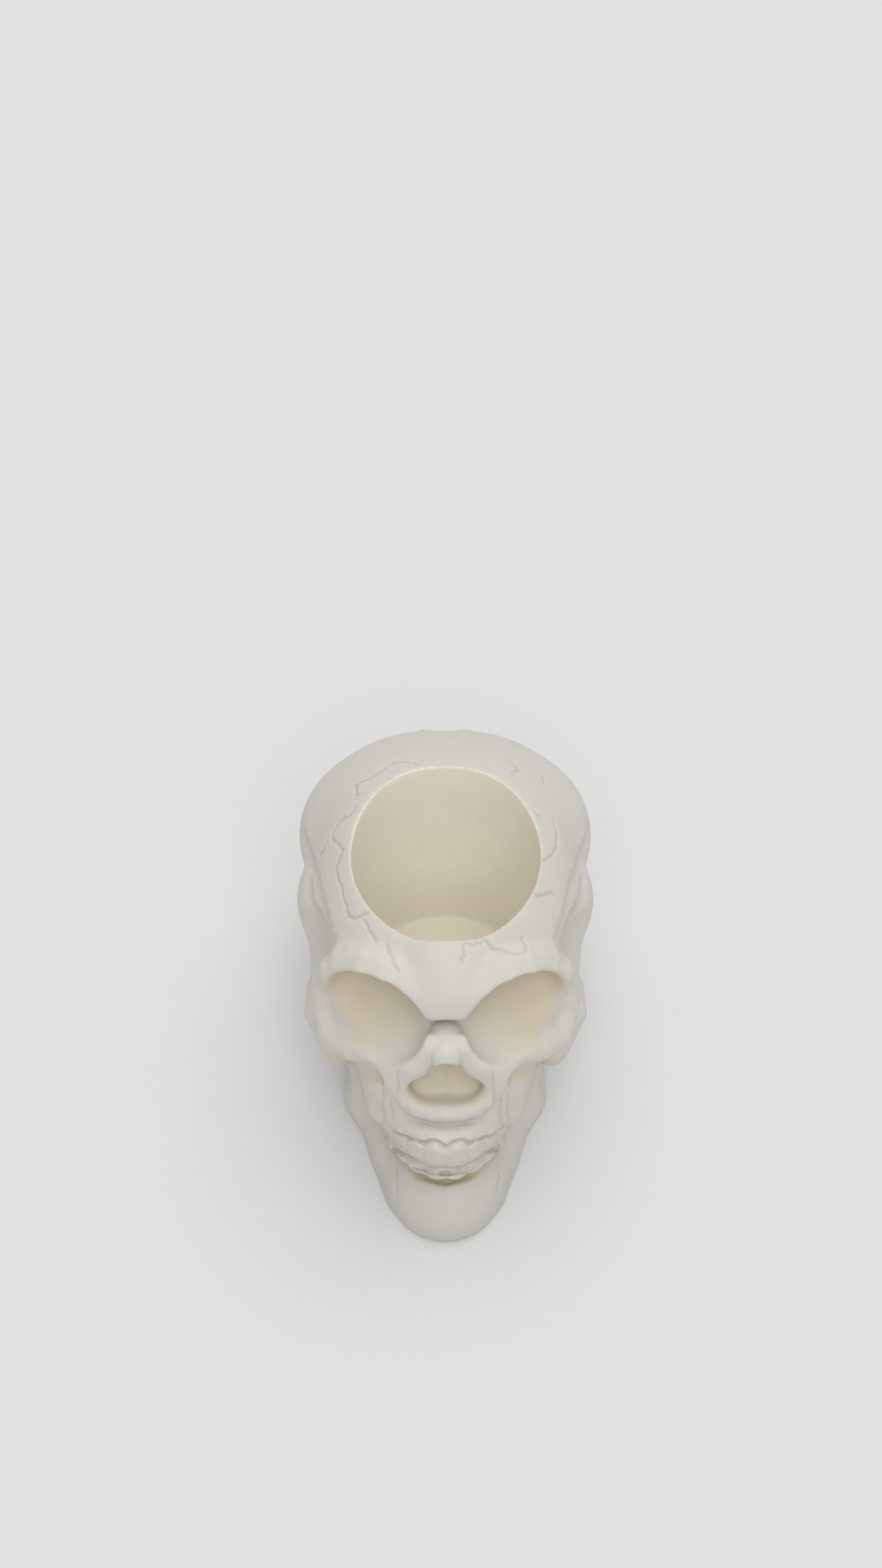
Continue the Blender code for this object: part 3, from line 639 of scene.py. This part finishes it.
def at_chin(place):
    """1 low down at the chin, where shade is painted, and 0 on the rest of the skull."""
    forward, down = (
        part.node("ShaderNodeMapRange", {"interpolation_type": "SMOOTHSTEP"}, {0: part, 1: ends[0], 2: ends[1]})
        for part, ends in ((place.node("ShaderNodeSeparateXYZ", {}, {0: place}, 1), CHIN_FORWARD),
                           (place.node("ShaderNodeSeparateXYZ", {}, {0: place}, 2), CHIN_DOWN)))
    return forward * down


def mixed(share, first, second):
    """The second colour over the first, by this share."""
    return share.node("ShaderNodeMix", {"data_type": "RGBA"}, {0: share, 6: first, 7: second}, 2)


# The resin: its open colour, greyer in clouds. Shade is painted into it: darker towards the chin, darker and warmer
# in the eyes, the nose and the recesses, and dark in the cuts, patchy by a noise. Light is painted in the well, which
# is paler. The chin is where y and z pass these ends. Each noise has its scale per metre, detail and roughness.
BONE = (0.64, 0.62, 0.56, 1.0)
PAINTED_HOLLOW_SHADE = (0.62, 0.557, 0.43, 1.0)
PAINTED_WELL_LIGHT = (0.89, 0.85, 0.745, 1.0)
PAINTED_CREASE_SHADE = (0.40, 0.33, 0.225, 1.0)
BONE_GREY = (0.55, 0.54, 0.505, 1.0)
PAINTED_CHIN_SHADE = (0.575, 0.562, 0.518, 1.0)
CHIN_FORWARD, CHIN_DOWN = (-0.035, -0.055), (0.035, 0.015)
CLOUDS, SHADE_PATCHES, GRAIN = (38.0, 3.0, 0.55), (120.0, 4.0, 0.6), (1500.0, 2.0, 0.6)
MOST_GREY = 0.35
# How much shade is painted in the cuts: at least this, and more where a noise makes patches
LEAST_CREASE_SHADE, PATCHY_CREASE_SHADE = 0.4, 0.4
LEAST_ROUGHNESS, CLOUDED_ROUGHNESS = 0.42, 0.12
GRAIN_STRENGTH, GRAIN_HEIGHT = 0.25, 0.0002
resin = bpy.data.materials.new("ivory resin")
resin.use_nodes = True
shader = resin.node_tree.nodes["Principled BSDF"]
coordinates = resin.node_tree.nodes.new("ShaderNodeTexCoord")
place = Shade(resin.node_tree, coordinates.outputs["Object"])
hollows = place.node("ShaderNodeAttribute", {"attribute_name": "hollow"}, {}, 2)
creases = place.node("ShaderNodeAttribute", {"attribute_name": "crease"}, {}, 2)
clouds, shade_patches, grain = (noise(place, *values) for values in (CLOUDS, SHADE_PATCHES, GRAIN))
bone = mixed(clouds * MOST_GREY, BONE, BONE_GREY)
# Painted shade: darker low down at the chin
bone = mixed(at_chin(place), bone, PAINTED_CHIN_SHADE)
# Painted shade in the cut lines, patchy by a noise
bone = mixed(creases * (LEAST_CREASE_SHADE + shade_patches * PATCHY_CREASE_SHADE), bone, PAINTED_CREASE_SHADE)
# Painted shade: warmer and darker in the eyes, the nose and the recesses
bone = mixed(hollows.math("MINIMUM", hollows * 2.0, 1.0), bone, PAINTED_HOLLOW_SHADE)
# Painted light: the well is paler
bone = mixed(hollows.math("MAXIMUM", hollows * 2.0 - 1.0, 0.0), bone, PAINTED_WELL_LIGHT)
gloss = LEAST_ROUGHNESS + clouds * CLOUDED_ROUGHNESS
bump = grain.node("ShaderNodeBump", {}, {"Strength": GRAIN_STRENGTH, "Distance": GRAIN_HEIGHT, "Height": grain})
for name, value in (("Base Color", bone), ("Roughness", gloss), ("Normal", bump)):
    resin.node_tree.links.new(value.socket, shader.inputs[name])
shader.inputs["Specular IOR Level"].default_value = 0.35
shader.inputs["Subsurface Weight"].default_value = 0.25
shader.inputs["Subsurface Radius"].default_value = (1.0, 0.72, 0.42)
shader.inputs["Subsurface Scale"].default_value = 0.003

# The maker holds the tree. The lines are drawn as meshes of edges, which the tree reads as objects.
maker = bpy.data.objects.new("maker", bpy.data.meshes.new("maker"))
bpy.context.scene.collection.objects.link(maker)
given = {**SIZES, "Voxel": VOXEL, "Material": resin}
for name, (lines, *_) in CUTS.items():
    stops = [stop for line in lines for stop in line]
    ends = [sum(map(len, lines[:count + 1])) for count in range(len(lines))]
    edges = [(k, k + 1) for k in range(len(stops) - 1) if k + 1 not in ends]
    drawn = bpy.data.meshes.new(name)
    drawn.from_pydata(stops, edges, [])
    given[name] = bpy.data.objects.new(name, drawn)
    bpy.context.scene.collection.objects.link(given[name])
making = maker.modifiers.new("Skull holder", "NODES")
making.node_group = skin_tree()
for item in making.node_group.interface.items_tree:
    if item.in_out == "INPUT":
        making[item.identifier] = given[item.name]
bpy.context.view_layer.update()
skin = bpy.data.meshes.new_from_object(maker.evaluated_get(bpy.context.evaluated_depsgraph_get()))
skin.calc_loop_triangles()
for helper in (maker, *(given[name] for name in CUTS)):
    bpy.data.objects.remove(helper, do_unlink=True)
skin.name = "skull"
skull_piece = bpy.data.objects.new("skull", skin)
bpy.context.scene.collection.objects.link(skull_piece)
# The skin is made finer than the piece may be, so that the thinning keeps its triangles where the form is fine
if len(skin.loop_triangles) > TRIANGLES:
    fewer = skull_piece.modifiers.new("Fewer faces", "DECIMATE")
    fewer.ratio = TRIANGLES / len(skin.loop_triangles)
    graph = bpy.context.evaluated_depsgraph_get()
    thinned = bpy.data.meshes.new_from_object(skull_piece.evaluated_get(graph))
    skull_piece.modifiers.clear()
    skull_piece.data = thinned
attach(skull_piece, "root")
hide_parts("skull_holder")


# Floor
# A plain, matt, pale sheet under the object. It is large enough to fill the picture, and it catches the soft shadow.
FLOOR_HALF = 3.0
FLOOR_COLOUR = (0.70, 0.70, 0.70, 1.0)
floor_mesh = bpy.data.meshes.new("floor")
floor_mesh.from_pydata([(-FLOOR_HALF, -FLOOR_HALF, 0.0), (FLOOR_HALF, -FLOOR_HALF, 0.0),
                        (FLOOR_HALF, FLOOR_HALF, 0.0), (-FLOOR_HALF, FLOOR_HALF, 0.0)], [], [(0, 1, 2, 3)])
floor = bpy.data.objects.new("floor", floor_mesh)
bpy.context.scene.collection.objects.link(floor)
paper = bpy.data.materials.new("paper floor")
paper.use_nodes = True
paper_shader = paper.node_tree.nodes["Principled BSDF"]
paper_shader.inputs["Base Color"].default_value = FLOOR_COLOUR
paper_shader.inputs["Roughness"].default_value = 0.9
paper_shader.inputs["Specular IOR Level"].default_value = 0.1
floor_mesh.materials.append(paper)


# Light
# A plain studio: one broad, soft light from above and one from the viewer's side, both far away so that the floor is
# lit evenly, and an even pale surround. Each has the way it comes from, its strength and its softness in degrees.
LIGHTS = {"above": ((0.1, 0.22, 0.95), 1.2, 60), "viewer": ((0.05, -0.66, 0.75), 1.05, 45)}
SURROUND_STRENGTH = 0.45
for name, (comes_from, strength, softness) in LIGHTS.items():
    light = bpy.data.lights.new(name, "SUN")
    light.energy = strength
    light.angle = math.radians(softness)
    lamp = bpy.data.objects.new(name, light)
    lamp.rotation_euler = Vector(comes_from).to_track_quat("Z", "Y").to_euler()
    bpy.context.scene.collection.objects.link(lamp)
surround = bpy.data.worlds.new("surround")
surround.use_nodes = True
surround.node_tree.nodes["Background"].inputs["Color"].default_value = (1.0, 1.0, 1.0, 1.0)
surround.node_tree.nodes["Background"].inputs["Strength"].default_value = SURROUND_STRENGTH
bpy.context.scene.world = surround
bpy.context.scene.view_settings.view_transform = "Standard"
